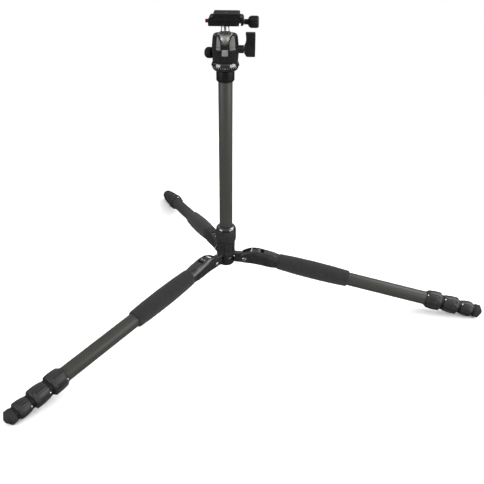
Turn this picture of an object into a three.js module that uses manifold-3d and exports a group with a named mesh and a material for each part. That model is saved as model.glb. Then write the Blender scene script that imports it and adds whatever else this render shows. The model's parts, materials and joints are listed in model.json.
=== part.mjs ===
// A carbon travel tripod with a ball head: three four-section legs splayed in their
// low-angle stop, the centre column raised, and a quick-release clamp on the head.
// Millimetres, +Z up the column, -Y is the front of the head and +X its main knob.
// The origin is the middle of the flat underside of the column's end cap.
import * as THREE from 'three';
import { mergeVertices } from 'three/addons/utils/BufferGeometryUtils.js';
import Module from 'manifold-3d';

const wasm = await Module();
wasm.setup();

// ---- driving dimensions -------------------------------------------------------

const GAP = 0.3; // clearance between neighbouring pieces
const SIDES = 20; // facets round a turned piece of the hub or head
const LEG_SIDES = 16; // facets round a piece of a leg
const PIN_SIDES = 12; // facets round a bolt, screw or pin, and its hole

const HUB_Z = 27; // height at which the leg tubes' axes cross the column's axis
const LEG_NAMES = ['leg_1', 'leg_2', 'leg_3'];
const LEG_AZIMUTHS = [350.5, 110.5, 230.5]; // degrees from +X
const LEG_DROP = 10; // degrees below the horizontal
const PIVOT_RADIUS = 32.5; // hinge pins, out from the column's axis
const PIVOT_Z = -14; // hinge pins, from HUB_Z

// The four leg tubes nest with 3 mm steps. Stations are distances down the leg from HUB_Z.
const TUBE_RADII = [11, 9.5, 8, 6.5];
const TUBE_BORES = [9.9, 8.4, 6.9, 5.4];
const TUBE_STARTS = [66.3, 74, 84, 94];
const TUBE_ENDS = [353, 379, 405, 424];
const SHOULDER_END = 90.4;
const SHOULDER_RADIUS = 12.3;
const FOAM_END = 210.2;
const LOCKS = [
  { from: 341, to: 369, crest: 357, radius: 16.3, nose: 12.8 },
  { from: 369.5, to: 397.5, crest: 385, radius: 14.9, nose: 11.2 },
  { from: 398, to: 421, crest: 411, radius: 13.4, nose: 10.4 },
];
const FOOT = { from: 421.4, to: 435, radius: 10.6 };

const CHEEK_GAP = 5.3; // half the slot in a shoulder that the spider's arm fills
const CHEEK_OUTER = 9.6;
const BOLT = { radius: 2.5, head: 4.2, headFrom: 7.9, headTo: 9.9, socket: 2.2 };
const STOP = { from: 41, to: 59, halfWidth: 6.2, floor: 7.8, travel: 4.5 };

// Column and hub, heights from HUB_Z.
const COLUMN = { radius: 10.7, bore: 9.2, from: -19.7, to: 292.7 };
const COLUMN_CLEAR = 11;
const END_CAP = { radius: 14.2, from: -27, to: -9.3 };
const SLEEVE = { radius: 14.7, from: -9, to: 14, flare: 15.6, neck: 14, neckTop: 26.5 };
const ARM = { halfWidth: 5, top: -4.6, tip: 7.5, root: 14.9 };
const COLLAR = { radius: 16.75, from: 14.3, to: 44, bore: 14.3, lip: 41 };
const TOP_CAP = { radius: 13.55, from: 281, to: 296.6, ceiling: 293 };
const STUD = { radius: 4.6, head: 8, headFrom: 286.7, to: 303.2 };

// Head, heights from HUB_Z.
const PAN = { bottom: 296.9, top: 309.7, ring: 20.7, bowl: 19.3, post: 8.5, postTop: 313 };
const HOUSING = { bottom: 310, top: 349, step: 331.6, radius: 20 };
const BALL = { radius: 15, room: 15.6, z: 338.8, stem: 5.85, neck: 352.7, top: 361.1, spigot: 3 };
const NOTCH = { radius: 6.4, halfTop: 10.2 };
const CUP = { radius: 12.5, from: 318.3 };
const MAIN_Z = 327.4; // axis of the main locking knob
const PAN_KNOB = { azimuth: 165, z: 321, radius: 8, from: 20.2, to: 31 };
const BADGE = { side: 10.4, z: 325, face: -20, back: -19.4 };
const CLAMP = { bottom: 361.4, floor: 368.2, top: 373, left: -23.3, right: 19.8, depth: 40 };
const SCREW = { radius: 2.6, z: 365, from: 8, to: 39.7 };
const PIN = { radius: 2.7, z: 366, from: -28.3, shoulder: -22.6, shaft: 1.4, to: -14 };
const PLATE = { centre: 2.1, half: 19, bottom: 368.5, top: 377.7, depth: 42 };
const PAD = { half: 15, halfDepth: 17, thick: 1 };

// ---- finishes -----------------------------------------------------------------

const finish = (color, roughness, metalness) =>
  new THREE.MeshStandardMaterial({ color, roughness, metalness });

const CARBON = finish(0x454542, 0.42, 0.1);
const FOAM = finish(0x2f2f30, 0.95, 0);
const RUBBER = finish(0x1d1d1e, 0.8, 0);
const GRAPHITE = finish(0x3a3b3c, 0.45, 0.6);
const GLOSS = finish(0x1b1c1d, 0.25, 0.5);
const ANODISED = finish(0x161617, 0.5, 0.4);
const STEEL = finish(0xb9bab4, 0.25, 0.95);
const NYLON = finish(0x2a2a2a, 0.6, 0);
const RED = finish(0x9c1c3c, 0.4, 0.3);

// ---- geometry helpers ---------------------------------------------------------

const rad = THREE.MathUtils.degToRad;
const v2 = (x, y) => new THREE.Vector2(x, y);

function solid(geometry) {
  const bare = geometry.clone();
  bare.deleteAttribute('normal');
  bare.deleteAttribute('uv');
  const welded = mergeVertices(bare);
  const index = welded.index.array;
  const triangles = [];
  for (let i = 0; i < index.length; i += 3) {
    const [a, b, c] = index.slice(i, i + 3);
    if (a !== b && b !== c && c !== a) triangles.push(a, b, c);
  }
  return new wasm.Manifold(new wasm.Mesh({
    numProp: 3,
    vertProperties: welded.attributes.position.array,
    triVerts: new Uint32Array(triangles),
  }));
}

function surface(body) {
  const mesh = body.getMesh();
  const geometry = new THREE.BufferGeometry();
  geometry.setAttribute('position', new THREE.BufferAttribute(mesh.vertProperties, 3));
  geometry.setIndex(new THREE.BufferAttribute(mesh.triVerts, 1));
  return geometry;
}

const cut = (body, ...tools) => tools.reduce((left, tool) => left.subtract(tool), body);
const join = (body, ...others) => others.reduce((whole, other) => whole.add(other), body);

// A turned solid. The profile's points are [radius, height]; it closes on itself.
function turned(profile, sides = SIDES) {
  const points = profile.map(([r, h]) => v2(r, h));
  if (THREE.ShapeUtils.area(points) < 0) points.reverse();
  points.push(points[0].clone());
  const geometry = new THREE.LatheGeometry(points, sides);
  geometry.rotateX(Math.PI / 2);
  return solid(geometry);
}

// The same, with its axis along +X or +Y and its heights measured that way.
const turnedX = (profile, sides) => turned(profile, sides).rotate([0, 90, 0]);
const turnedY = (profile, sides) => turned(profile, sides).rotate([-90, 0, 0]);

const rod = (radius, from, to) => [[0, from], [radius, from], [radius, to], [0, to]];
const sleeve = (bore, radius, from, to) =>
  [[bore, from], [radius, from], [radius, to], [bore, to]];

// Points of an arc, from one angle to another in degrees.
function arc(x, y, radius, start, end, steps) {
  const points = [];
  for (let i = 0; i <= steps; i += 1) {
    const angle = rad(start + ((end - start) * i) / steps);
    points.push([x + radius * Math.cos(angle), y + radius * Math.sin(angle)]);
  }
  return points;
}

// An outline drawn in X and Z, extruded from one Y to another.
function slabXZ(outline, fromY, toY, bevel = 0) {
  const shape = new THREE.Shape(outline.map(([x, z]) => v2(x, z)));
  const geometry = new THREE.ExtrudeGeometry(shape, {
    depth: toY - fromY - 2 * bevel,
    bevelEnabled: bevel > 0,
    bevelThickness: bevel,
    bevelSize: bevel,
    bevelOffset: -bevel,
    bevelSegments: 1,
  });
  geometry.rotateX(Math.PI / 2);
  geometry.translate(0, toY - bevel, 0);
  return solid(geometry);
}

function box(fromX, toX, fromY, toY, fromZ, toZ) {
  const geometry = new THREE.BoxGeometry(toX - fromX, toY - fromY, toZ - fromZ);
  geometry.translate((fromX + toX) / 2, (fromY + toY) / 2, (fromZ + toZ) / 2);
  return solid(geometry);
}

function sphere(radius, z) {
  const geometry = new THREE.SphereGeometry(radius, SIDES, SIDES / 2);
  geometry.rotateX(Math.PI / 2);
  geometry.translate(0, 0, z);
  return solid(geometry);
}

// A solid skinned over cross-sections that stand along X. Each station has its x, its
// lowest and highest z, its half width, and how square it is: 2 is an ellipse.
function lofted(stations, sides) {
  const positions = [];
  for (const { x, low, high, half, square } of stations) {
    for (let i = 0; i < sides; i += 1) {
      const angle = (2 * Math.PI * i) / sides;
      const c = Math.cos(angle);
      const s = Math.sin(angle);
      const y = half * Math.sign(c) * Math.abs(c) ** (2 / square);
      const lift = Math.sign(s) * Math.abs(s) ** (2 / square);
      positions.push(x, y, (low + high) / 2 + (lift * (high - low)) / 2);
    }
  }
  const ends = [stations[0], stations.at(-1)];
  ends.forEach(({ x, low, high }) => positions.push(x, 0, (low + high) / 2));
  const last = stations.length - 1;
  const firstCentre = stations.length * sides;
  const index = [];
  for (let i = 0; i < sides; i += 1) {
    const j = (i + 1) % sides;
    for (let k = 0; k < last; k += 1) {
      const [a, b, c, d] = [k * sides + i, k * sides + j, (k + 1) * sides + i, (k + 1) * sides + j];
      index.push(a, b, d, a, d, c);
    }
    index.push(firstCentre, j, i);
    index.push(firstCentre + 1, last * sides + i, last * sides + j);
  }
  const geometry = new THREE.BufferGeometry();
  geometry.setAttribute('position', new THREE.Float32BufferAttribute(positions, 3));
  geometry.setIndex(index);
  return solid(geometry);
}

// A turned grip with flutes: round rods cut away at even spacing.
function fluted(body, radius, count, fluteRadius, fromX, toX) {
  let grip = body;
  for (let i = 0; i < count; i += 1) {
    const flute = turnedX(rod(fluteRadius, fromX, toX), 8).translate([0, 0, radius]);
    grip = grip.subtract(flute.rotate([(360 * i) / count, 0, 0]));
  }
  return grip;
}

function place(group, name, body, material) {
  const mesh = new THREE.Mesh(surface(body), material);
  mesh.name = name;
  group.add(mesh);
}

// ---- hub and column -----------------------------------------------------------

function makeSpider() {
  const { radius, from, to, flare, neck, neckTop } = SLEEVE;
  let body = turned([
    [COLUMN_CLEAR, from], [flare, from], [flare, from + 4.5], [radius, from + 7],
    [radius, to], [neck, to], [neck, neckTop], [COLUMN_CLEAR, neckTop],
  ]);
  const low = PIVOT_Z - ARM.tip;
  for (const azimuth of LEG_AZIMUTHS) {
    const outline = [
      [ARM.root, low], ...arc(PIVOT_RADIUS, PIVOT_Z, ARM.tip, -90, 70, 8), [28, ARM.top], [13.5, ARM.top],
      [13.5, from + 0.5], [ARM.root, from + 0.5],
    ];
    const bore = turnedY(rod(BOLT.radius + GAP, -ARM.halfWidth - 1, ARM.halfWidth + 1), PIN_SIDES)
      .translate([PIVOT_RADIUS, 0, PIVOT_Z]);
    const arm = slabXZ(outline, -ARM.halfWidth, ARM.halfWidth).subtract(bore);
    body = body.add(arm.rotate([0, 0, azimuth]));
  }
  const column = turned(rod(COLUMN_CLEAR, from - 1, neckTop + 1));
  const capRoom = turned(rod(END_CAP.radius + GAP, END_CAP.from, from));
  return cut(body, column, capRoom);
}

function makeEndCap() {
  const { radius, from, to } = END_CAP;
  const socket = COLUMN.from - GAP;
  return turned([
    [0, from], [radius - 2.4, from], [radius, from + 3], [radius, to], [COLUMN.radius + GAP, to],
    [COLUMN.radius + GAP, socket], [0, socket],
  ]);
}

function makeCollar() {
  const { radius, from, to, bore, lip } = COLLAR;
  return turned([
    [bore, from], [14.9, from], [radius, from + 5], [radius, to - 5], [radius - 1.1, to - 2.2],
    [radius - 3.4, to], [COLUMN_CLEAR, to], [COLUMN_CLEAR, lip], [bore, lip],
  ]);
}

function makeCollet() {
  return turned([
    [COLUMN_CLEAR, 26.9], [13.9, 26.9], [13.2, 40.6], [COLUMN_CLEAR, 40.6],
  ]);
}

function makeTopCap() {
  const { radius, from, to, ceiling } = TOP_CAP;
  const socket = COLUMN.radius + GAP;
  return turned([
    [socket, from], [radius - 1.8, from], [radius, from + 2.4], [radius, to],
    [STUD.radius + GAP, to], [STUD.radius + GAP, ceiling], [socket, ceiling],
  ]);
}

function makeStud() {
  const { radius, head, headFrom, to } = STUD;
  const shank = turned(rod(radius, headFrom, to), PIN_SIDES);
  return join(shank, turned(rod(head, headFrom, COLUMN.to), 6));
}

function addHub(group) {
  const { radius, bore, from, to } = COLUMN;
  place(group, 'spider', makeSpider(), GRAPHITE);
  place(group, 'column_lock_collar', makeCollar(), RUBBER);
  place(group, 'column_collet', makeCollet(), NYLON);
  place(group, 'column_tube', turned(sleeve(bore, radius, from, to)), CARBON);
  place(group, 'column_end_cap', makeEndCap(), GRAPHITE);
  place(group, 'column_top_cap', makeTopCap(), ANODISED);
  place(group, 'head_stud', makeStud(), STEEL);
}

// ---- legs: drawn with the tube's axis along +X and the hinge pin below it ------------

const PIVOT = {
  x: PIVOT_RADIUS * Math.cos(rad(LEG_DROP)) - PIVOT_Z * Math.sin(rad(LEG_DROP)),
  z: PIVOT_RADIUS * Math.sin(rad(LEG_DROP)) + PIVOT_Z * Math.cos(rad(LEG_DROP)),
};

// Each row is a station: distance past the pin, lowest and highest point from the pin's
// height, half width, and squareness.
const SHOULDER_STATIONS = [
  [-9.2, -1.5, 2, 8.6, 3], [-8, -4.6, 5.6, CHEEK_OUTER, 4], [-5, -7.7, 9.4, CHEEK_OUTER, 5],
  [-1, -8.9, 13, CHEEK_OUTER, 5], [5, -8.3, 17, CHEEK_OUTER, 4.5], [14, -6.8, 19.6, 10.6, 3.6],
  [27, -5.6, 20.2, 11.9, 2.8], [40, -4.9, 20, 12.3, 2.2],
];

function makeShoulder() {
  const stations = SHOULDER_STATIONS.map(([x, low, high, half, square]) => (
    { x: PIVOT.x + x, low: PIVOT.z + low, high: PIVOT.z + high, half, square }
  ));
  const round = { low: -SHOULDER_RADIUS, high: SHOULDER_RADIUS, half: SHOULDER_RADIUS, square: 2 };
  stations.push({ x: SHOULDER_END, ...round });
  const socket = turnedX(rod(TUBE_RADII[0] + GAP, TUBE_STARTS[0] - GAP, SHOULDER_END + 1), LEG_SIDES);
  const slot = box(PIVOT.x - 12, PIVOT.x, -CHEEK_GAP, CHEEK_GAP, PIVOT.z - 12, PIVOT.z + 20);
  const swing = turnedY(rod(9, -CHEEK_GAP, CHEEK_GAP), LEG_SIDES).translate([PIVOT.x, 0, PIVOT.z]);
  const passage = box(PIVOT.x - 1, PIVOT.x + 9.2, -CHEEK_GAP, CHEEK_GAP, PIVOT.z - 12, PIVOT.z + 20);
  const pinHole = turnedY([
    [0, -12], [BOLT.head + GAP, -12], [BOLT.head + GAP, -BOLT.headFrom + GAP],
    [BOLT.radius + GAP, -BOLT.headFrom + GAP], [BOLT.radius + GAP, BOLT.headFrom - GAP],
    [BOLT.head + GAP, BOLT.headFrom - GAP], [BOLT.head + GAP, 12], [0, 12],
  ], PIN_SIDES).translate([PIVOT.x, 0, PIVOT.z]);
  const half = STOP.halfWidth + GAP;
  const recess = box(STOP.from - 1, STOP.to + STOP.travel + 0.5, -half, half, STOP.floor - GAP, 20);
  return cut(lofted(stations, LEG_SIDES), socket, slot, swing, passage, pinHole, recess);
}

function makeHingeBolt() {
  const { radius, head, headFrom, headTo, socket } = BOLT;
  const body = turnedY([
    [0, -headTo], [head, -headTo], [head, -headFrom], [radius, -headFrom],
    [radius, headFrom], [head, headFrom], [head, headTo], [0, headTo],
  ], PIN_SIDES);
  const key = turnedY(rod(socket, headTo - 1.6, headTo + 1), 6);
  return body.subtract(key).subtract(key.mirror([0, 1, 0])).translate([PIVOT.x, 0, PIVOT.z]);
}

function makeAngleStop() {
  const { from, to, halfWidth, floor } = STOP;
  const outline = [
    [from, floor], [to, floor], [to, 11.4], [to - 1.2, 12], [from + 8, 11.7], [from + 7, 10.9],
    [from + 3, 10.4], [from, 9.4],
  ];
  return slabXZ(outline, -halfWidth, halfWidth);
}

function makeFoamGrip() {
  const from = SHOULDER_END + GAP;
  const length = FOAM_END - from;
  const bore = TUBE_RADII[0] + GAP;
  return turnedX([
    [bore, from], [12.4, from], [13.3, from + 1.8], [14.6, from + 0.25 * length],
    [15.1, from + 0.5 * length], [14.6, from + 0.8 * length], [13.6, FOAM_END - 1.8],
    [12.7, FOAM_END], [bore, FOAM_END],
  ], LEG_SIDES);
}

function makeLock(index) {
  const { from, to, crest, radius, nose } = LOCKS[index];
  const outer = TUBE_RADII[index] + GAP;
  const inner = TUBE_RADII[index + 1] + GAP;
  const step = TUBE_ENDS[index] + GAP;
  const back = index === 0 ? 12.7 : LOCKS[index - 1].nose;
  return turnedX([
    [outer, from], [back, from], [radius - 1.4, from + 3.6], [radius, crest],
    [radius - 1, to - 4.2], [nose, to - 2.8], [nose, to], [inner, to], [inner, step], [outer, step],
  ], LEG_SIDES);
}

function makeFoot() {
  const { from, to, radius } = FOOT;
  const bore = TUBE_RADII[3] + GAP;
  const seat = TUBE_ENDS[3] + GAP;
  return turnedX([
    [bore, from], [radius - 0.8, from], [radius, from + 1.2], [radius, to - 5.4],
    [radius - 1, to - 4.2], [3.4, to], [0, to], [0, seat], [bore, seat],
  ], LEG_SIDES);
}

function makeTube(index) {
  const profile = sleeve(TUBE_BORES[index], TUBE_RADII[index], TUBE_STARTS[index], TUBE_ENDS[index]);
  return turnedX(profile, LEG_SIDES);
}

function addLeg(parent, name, azimuth) {
  const turn = new THREE.Group();
  turn.rotation.z = rad(azimuth);
  const leg = new THREE.Group();
  leg.rotation.y = rad(LEG_DROP);
  turn.add(leg);
  parent.add(turn);
  place(leg, `${name}_shoulder`, makeShoulder(), GRAPHITE);
  place(leg, `${name}_hinge_bolt`, makeHingeBolt(), STEEL);
  place(leg, `${name}_angle_stop`, makeAngleStop(), ANODISED);
  place(leg, `${name}_foam_grip`, makeFoamGrip(), FOAM);
  place(leg, `${name}_upper_tube`, makeTube(0), CARBON);
  for (const section of [2, 3, 4]) {
    place(leg, `${name}_lock_${section - 1}`, makeLock(section - 2), RUBBER);
    place(leg, `${name}_section_${section}`, makeTube(section - 1), CARBON);
  }
  place(leg, `${name}_foot`, makeFoot(), RUBBER);
}

// ---- ball head ----------------------------------------------------------------

function makePanBase() {
  const { bottom, top, ring, bowl, post, postTop } = PAN;
  const hole = STUD.radius + GAP;
  const depth = STUD.to + GAP;
  return turned([
    [hole, bottom], [14.4, bottom], [17.6, bottom + 1.8], [bowl, bottom + 5], [bowl, bottom + 6.6],
    [ring, bottom + 7.8], [ring - 1.1, bottom + 11.8], [bowl - 0.6, top], [post, top], [post, postTop],
    [0, postTop], [0, depth], [hole, depth],
  ]);
}

function makeHousing() {
  const { bottom, top, step, radius } = HOUSING;
  const recess = PAN.postTop + GAP;
  const shell = turned([
    [PAN.post + GAP, bottom], [18.75, bottom], [19.3, bottom + 8], [radius, step - 5],
    [radius, step], [radius - 0.4, step + 0.5], [19.4, step + 8], [18.9, top - 4.6],
    [18, top - 1.8], [16.6, top - 0.4], [15.2, top], [0, top], [0, recess], [PAN.post + GAP, recess],
  ], 24);
  const boss = turnedX(rod(5.7, 14, 27), PIN_SIDES).translate([0, 0, MAIN_Z]);
  const mainHole = turnedX(rod(3.1, 5, 28), PIN_SIDES).translate([0, 0, MAIN_Z]);
  const panHole = turnedX(rod(2.5, 10, 24), 12).translate([0, 0, PAN_KNOB.z]);
  const cavity = sphere(BALL.room, BALL.z);
  const cupRoom = turned(rod(CUP.radius + GAP, CUP.from - GAP, BALL.z - 6));
  const mouth = turned(rod(12.5, BALL.z + 8.8, top + 1));
  const notch = slabXZ([
    [-NOTCH.halfTop, top + 1], [-8.4, BALL.z + 4.6], ...arc(0, BALL.z, NOTCH.radius, 174, 366, 12),
    [8.4, BALL.z + 4.6], [NOTCH.halfTop, top + 1],
  ], -25, -1);
  const half = BADGE.side / 2 + GAP;
  const badgeSeat = box(-half, half, -25, BADGE.back + GAP, BADGE.z - half, BADGE.z + half);
  const tools = [cavity, cupRoom, mouth, notch, badgeSeat, mainHole];
  return cut(join(shell, boss), ...tools, panHole.rotate([0, 0, PAN_KNOB.azimuth]));
}

function makeBall() {
  const { radius, z, stem, neck, top, spigot } = BALL;
  const shoulder = 10.7;
  const start = (Math.asin(shoulder / radius) * 180) / Math.PI;
  return turned([
    ...arc(0, z, radius, -90, start, 14), [stem, neck], [stem, top], [spigot, top],
    [spigot, top + 5], [0, top + 5],
  ]);
}

function makeBallCup() {
  const blank = turned(rod(CUP.radius, CUP.from, BALL.z - 6));
  return cut(blank, sphere(BALL.room, BALL.z));
}

function makeMainKnob() {
  const outline = [
    [27.3, -5.2], [28.4, -6.2], [30.4, -10], [43, -10], [43.3, -8.8], [43.3, 22], [42.4, 23],
    [29.2, 23], [29.9, 18], [30, 13], [29.4, 8.6], [28.2, 6], [27.3, 5.2],
  ];
  const wing = slabXZ(outline, -6.5, 6.5, 1);
  const hub = turnedX(rod(5.7, 27.3, 40), PIN_SIDES);
  const bore = turnedX(rod(3.1, 26, 38), PIN_SIDES);
  return join(wing, hub).subtract(bore).translate([0, 0, MAIN_Z]);
}

function makePanKnob() {
  const { azimuth, z, radius, from, to } = PAN_KNOB;
  const grip = turnedX([
    [0, from - 6], [2.2, from - 6], [2.2, from], [radius - 1, from], [radius, from + 1],
    [radius, to - 4], [radius - 1.4, to - 1.4], [radius - 4, to], [0, to],
  ]);
  return fluted(grip, radius + 0.6, 12, 1.1, from - 1, to + 1)
    .translate([0, 0, z]).rotate([0, 0, azimuth]);
}

function makeClampBody() {
  const { bottom, floor, top, left, right, depth } = CLAMP;
  const edge = PLATE.centre - PLATE.half - GAP;
  const blank = slabXZ([
    [left + 1.2, bottom], [right, bottom], [right, floor], [edge, floor], [edge, floor + 1.9],
    [edge + 2.3, floor + 4.2], [edge + 2.3, top], [left + 2.2, top], [left, top - 2.2], [left, bottom + 1.2],
  ], -depth / 2, depth / 2);
  const spigotHole = turned(rod(BALL.spigot + GAP, bottom - 1, BALL.top + 5 + GAP), PIN_SIDES);
  const screwHole = turnedX(rod(SCREW.radius + GAP, 5, right + 1), PIN_SIDES).translate([0, 0, SCREW.z]);
  const pinHole = turnedX([
    [0, left - 1], [PIN.radius + GAP, left - 1], [PIN.radius + GAP, -19.2], [PIN.shaft + GAP, -19.2],
    [PIN.shaft + GAP, -10], [0, -10],
  ], PIN_SIDES).translate([0, 0, PIN.z]);
  return cut(blank, spigotHole, screwHole, pinHole);
}

function makeClampJaw() {
  const { bottom, floor, top, depth } = CLAMP;
  const edge = PLATE.centre + PLATE.half + GAP;
  const blank = slabXZ([
    [22.4, bottom + 0.6], [25.2, bottom + 0.6], [26.7, bottom + 2.6], [26.7, top - 2], [24.9, top],
    [edge - 2.3, top], [edge - 2.3, floor + 4.2], [edge, floor + 1.9], [edge, floor + 0.4], [22.4, floor],
  ], -depth / 2, depth / 2);
  const hole = turnedX(rod(SCREW.radius + GAP, 18, 28), PIN_SIDES).translate([0, 0, SCREW.z]);
  return blank.subtract(hole);
}

function makeClampKnob() {
  const body = turnedX([
    [0, 27], [3.75, 27], [3.75, 32.4], [6.4, 33.4], [8.4, 36.4], [8.4, 45.8], [7, 47.7], [0, 47.7],
  ]);
  const bore = turnedX(rod(SCREW.radius + GAP, 26, SCREW.to + GAP), PIN_SIDES);
  return fluted(body, 9.4, 9, 1.6, 33, 49).subtract(bore).translate([0, 0, SCREW.z]);
}

function makeSafetyPin() {
  const { radius, z, from, shoulder, shaft, to } = PIN;
  return turnedX([
    [0, from], [radius - 0.7, from], [radius, from + 0.7], [radius, shoulder], [shaft, shoulder],
    [shaft, to], [0, to],
  ], PIN_SIDES).translate([0, 0, z]);
}

function makePlate() {
  const { centre, half, bottom, top, depth } = PLATE;
  const side = [
    [half, bottom], [half, bottom + 1.5], [half - 2.8, bottom + 4.3], [half - 2.8, bottom + 4.8],
    [half - 0.1, bottom + 4.8], [half - 0.1, top - 1], [half - 1.1, top],
  ];
  const mirrored = side.map(([x, z]) => [-x, z]).reverse();
  const blank = slabXZ([...side, ...mirrored], -depth / 2, depth / 2);
  const seat = box(
    -PAD.half - GAP, PAD.half + GAP, -PAD.halfDepth - GAP, PAD.halfDepth + GAP,
    top - PAD.thick - GAP, top + 1,
  );
  const screwRoom = turned([
    [0, bottom - 1], [7.5, bottom - 1], [7.5, bottom + 3.3], [3.5, bottom + 3.3], [3.5, top + 1],
    [0, top + 1],
  ]);
  return cut(blank, seat, screwRoom).translate([centre, 0, 0]);
}

function makePad() {
  const { half, halfDepth, thick } = PAD;
  const { centre, top } = PLATE;
  const blank = box(-half, half, -halfDepth, halfDepth, top - thick, top);
  return blank.subtract(turned(rod(3.7, top - 3, top + 1), PIN_SIDES)).translate([centre, 0, 0]);
}

function makeCameraScrew() {
  const { centre, bottom, top } = PLATE;
  const head = bottom + 0.4;
  return turned([
    [0, head], [7.2, head], [7.2, head + 2.5], [3.1, head + 2.5], [3.1, top - 0.5], [0, top - 0.5],
  ]).translate([centre, 0, 0]);
}

function addHead(group) {
  const half = BADGE.side / 2;
  const badge = box(-half, half, BADGE.face, BADGE.back, BADGE.z - half, BADGE.z + half);
  const mainScrew = turnedX(rod(2.8, CUP.radius + 0.4, 37.7), PIN_SIDES).translate([0, 0, MAIN_Z]);
  const clampScrew = turnedX(rod(SCREW.radius, SCREW.from, SCREW.to), PIN_SIDES).translate([0, 0, SCREW.z]);
  place(group, 'pan_base', makePanBase(), GLOSS);
  place(group, 'head_housing', makeHousing(), GLOSS);
  place(group, 'badge', badge, STEEL);
  place(group, 'ball_cup', makeBallCup(), NYLON);
  place(group, 'ball', makeBall(), STEEL);
  place(group, 'main_knob', makeMainKnob(), RUBBER);
  place(group, 'main_knob_screw', mainScrew, STEEL);
  place(group, 'pan_knob', makePanKnob(), ANODISED);
  place(group, 'clamp_body', makeClampBody(), ANODISED);
  place(group, 'clamp_jaw', makeClampJaw(), ANODISED);
  place(group, 'clamp_knob', makeClampKnob(), RUBBER);
  place(group, 'clamp_screw', clampScrew, STEEL);
  place(group, 'safety_pin', makeSafetyPin(), RED);
  place(group, 'quick_release_plate', makePlate(), ANODISED);
  place(group, 'plate_pad', makePad(), RUBBER);
  place(group, 'camera_screw', makeCameraScrew(), STEEL);
}

// ---- the whole tripod ---------------------------------------------------------

const tripod = new THREE.Group();
tripod.name = 'tripod';
const hub = new THREE.Group();
hub.position.z = HUB_Z;
tripod.add(hub);
addHub(hub);
addHead(hub);
LEG_NAMES.forEach((name, i) => addLeg(hub, name, LEG_AZIMUTHS[i]));

export default tripod;
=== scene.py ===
"""The looks of a carbon travel tripod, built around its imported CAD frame.

Every shape is drawn in millimetres in a local frame, then placed in metres in the row frame.
Sizes come from the frame's own nodes; the values here are the fine detail that the frame leaves out.
"""

import json
import math
from collections import namedtuple

import bmesh
import bpy
from mathutils import Matrix, Vector


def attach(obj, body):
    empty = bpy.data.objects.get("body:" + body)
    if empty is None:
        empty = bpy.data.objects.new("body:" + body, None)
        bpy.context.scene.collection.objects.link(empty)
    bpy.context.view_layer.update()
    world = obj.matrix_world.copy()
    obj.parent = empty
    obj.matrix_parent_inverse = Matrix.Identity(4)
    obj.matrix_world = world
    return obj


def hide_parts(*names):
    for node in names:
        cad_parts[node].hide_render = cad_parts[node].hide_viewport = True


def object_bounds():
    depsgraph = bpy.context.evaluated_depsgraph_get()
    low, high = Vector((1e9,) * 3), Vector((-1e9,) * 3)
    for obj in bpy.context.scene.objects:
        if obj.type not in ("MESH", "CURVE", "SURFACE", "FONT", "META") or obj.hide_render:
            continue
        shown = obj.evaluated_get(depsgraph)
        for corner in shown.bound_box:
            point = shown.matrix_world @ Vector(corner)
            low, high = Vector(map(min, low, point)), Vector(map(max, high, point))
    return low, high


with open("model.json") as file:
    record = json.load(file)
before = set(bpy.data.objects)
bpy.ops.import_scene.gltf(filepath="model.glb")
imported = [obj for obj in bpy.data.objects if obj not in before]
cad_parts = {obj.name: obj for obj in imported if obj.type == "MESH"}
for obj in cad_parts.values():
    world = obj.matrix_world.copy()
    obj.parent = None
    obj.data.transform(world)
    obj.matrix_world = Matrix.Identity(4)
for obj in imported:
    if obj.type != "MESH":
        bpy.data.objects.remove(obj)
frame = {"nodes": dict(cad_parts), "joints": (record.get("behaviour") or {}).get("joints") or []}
CAD_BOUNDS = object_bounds()

TAU = 2 * math.pi
MM = 0.001
ROW = Matrix.Scale(MM, 4)  # millimetres about the row's own origin
LEGS = ("leg_1", "leg_2", "leg_3")
JOINTS = {joint["name"]: joint for joint in frame["joints"]}

Extent = namedtuple("Extent", "low high bore radius")


# ---- measuring the frame ----

def local_points(node, place):
    """A CAD node's vertices in a local frame, in millimetres."""
    inverse = place.inverted()
    return [inverse @ vertex.co for vertex in frame["nodes"][node].data.vertices]


def measure(node, place=ROW):
    """How far a CAD node reaches along a local frame's Z, and near to and far from it."""
    points = local_points(node, place)
    heights = [point.z for point in points]
    radii = [math.hypot(point.x, point.y) for point in points]
    return Extent(min(heights), max(heights), min(radii), max(radii))


def span(node, place=ROW):
    """The lowest and highest corner of a CAD node in a local frame, in millimetres."""
    points = local_points(node, place)
    low = Vector([min(point[i] for point in points) for i in range(3)])
    high = Vector([max(point[i] for point in points) for i in range(3)])
    return low, high


def axes_at(origin, up, along):
    """A local frame in millimetres: Z runs along, and X as near up as it can."""
    z = Vector(along).normalized()
    x = Vector(up)
    x = (x - z * x.dot(z)).normalized()
    matrix = Matrix((x, z.cross(x), z)).transposed().to_4x4()
    matrix.translation = origin
    return matrix @ Matrix.Scale(MM, 4)


def leg_frame(leg):
    """Z runs down the leg's tubes from the column's axis, and X is the leg's upper side."""
    joint = JOINTS[f"{leg}_twist_1_turn"]
    along = Vector(joint["axis"])
    on_axis = Vector(joint["pos_m"])
    back = math.hypot(on_axis.x, on_axis.y) / math.hypot(along.x, along.y)
    return axes_at(on_axis - along * back, (0, 0, 1), along)


# ---- shapes ----

def new_object(name, vertices, faces, wrap=None):
    """A mesh object. wrap gives each vertex's place on the unrolled surface, in millimetres."""
    mesh = bpy.data.meshes.new(name)
    mesh.from_pydata(vertices, [], faces)
    layer = mesh.uv_layers.new(name="wrap")
    for loop in mesh.loops:
        at = vertices[loop.vertex_index]
        layer.data[loop.index].uv = wrap[loop.vertex_index] if wrap else (at[0], at[2])
    piece = bpy.data.objects.new(name, mesh)
    bpy.context.scene.collection.objects.link(piece)
    return piece


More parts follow.
